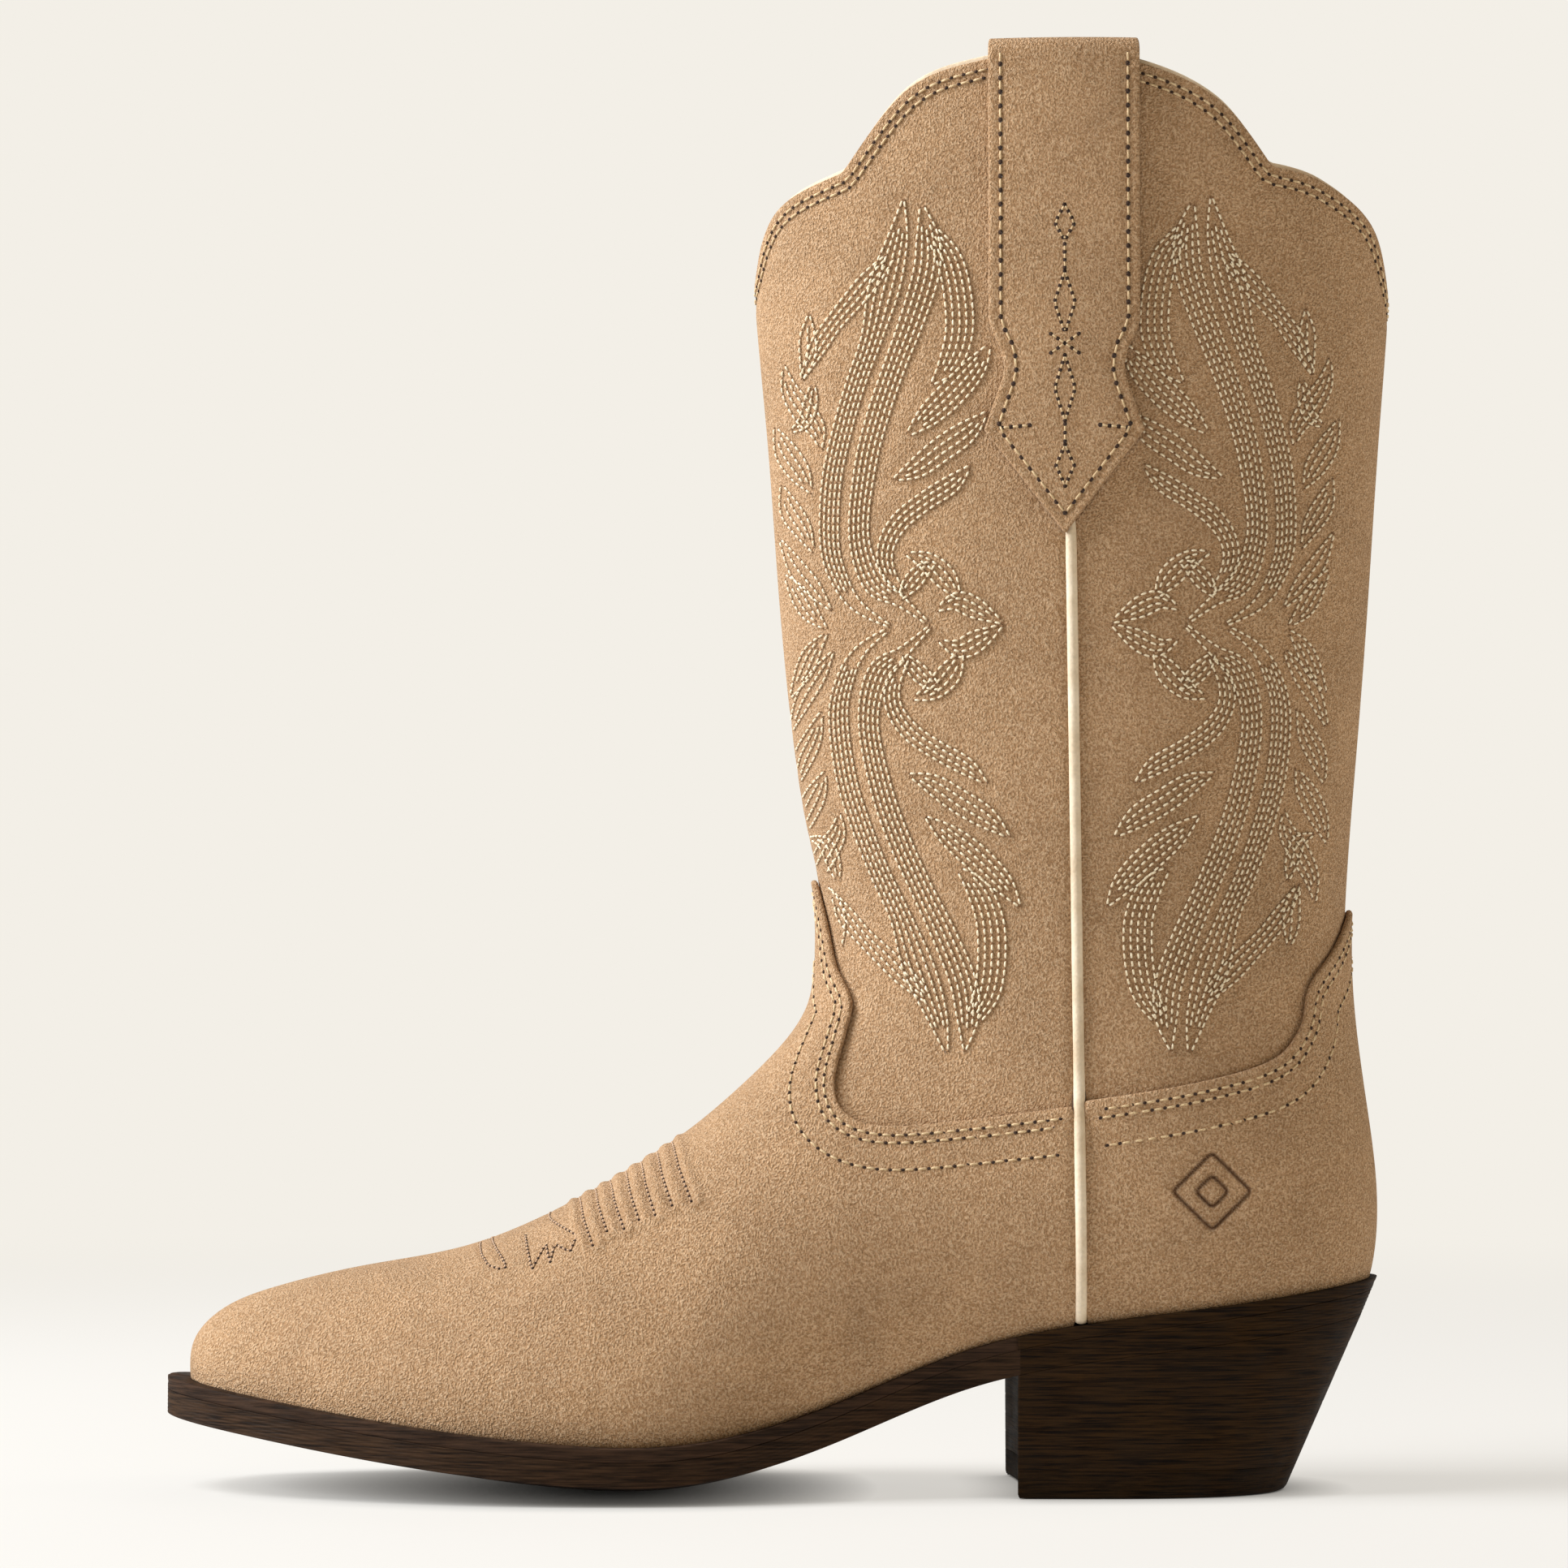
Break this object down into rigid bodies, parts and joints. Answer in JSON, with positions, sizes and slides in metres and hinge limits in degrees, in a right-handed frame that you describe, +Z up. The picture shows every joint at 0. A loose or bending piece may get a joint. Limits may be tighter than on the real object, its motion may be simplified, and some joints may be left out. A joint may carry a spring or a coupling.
{
  "type": "cowboy boot",
  "caption": "Left western boot with a stitched suede shaft, side pull straps, corded side seams, a welted sole and an underslung stacked heel.",
  "frame": {"origin": "centre of the boot's bounding box in plan, on the ground under it", "axes": "+Z up along the shaft; the toe points along -X and the heel along +X; -Y is the outer side of the foot and +Y the inner side of this left boot"},
  "size_m": [0.293, 0.0968, 0.3392],
  "materials": {
    "suede": "short-nap tan suede",
    "piping_leather": "smooth ivory leather",
    "lining_leather": "smooth natural lining leather",
    "stiff_board": "stiff pressed leather board",
    "backing_cloth": "woven cotton backing",
    "cork": "granulated cork",
    "foam": "dense insole foam with a cloth face",
    "welt_leather": "waxed brown welt leather",
    "sole_leather": "dark stained and waxed sole edge",
    "heel_leather": "dark stacked leather with fine streaks",
    "heel_rubber": "dull dark brown rubber",
    "steel": "plain steel"
  },
  "bodies": {
    "root": {"vamp": "suede", "counter_cover": "suede", "front_shaft_panel": "suede", "back_shaft_panel": "suede", "pull_strap_outside": "suede", "pull_strap_inside": "suede", "piping_outside": "piping_leather", "piping_inside": "piping_leather", "toe_puff": "stiff_board", "heel_stiffener": "stiff_board", "vamp_backer": "backing_cloth", "vamp_lining": "lining_leather", "counter_lining": "lining_leather", "shaft_lining_front": "lining_leather", "shaft_lining_back": "lining_leather", "footbed": "lining_leather", "heel_pad": "foam", "insole_board": "stiff_board", "cork_filler": "cork", "shank_board": "stiff_board", "shank": "steel", "shank_rivet_front": "steel", "shank_rivet_back": "steel", "welt": "welt_leather", "heel_rand": "welt_leather", "outsole": "sole_leather", "heel_block": "heel_leather", "heel_cap": "heel_rubber", "heel_nail_1": "steel", "heel_nail_2": "steel", "heel_nail_3": "steel", "heel_nail_4": "steel", "heel_nail_5": "steel"}
  },
  "joints": []
}
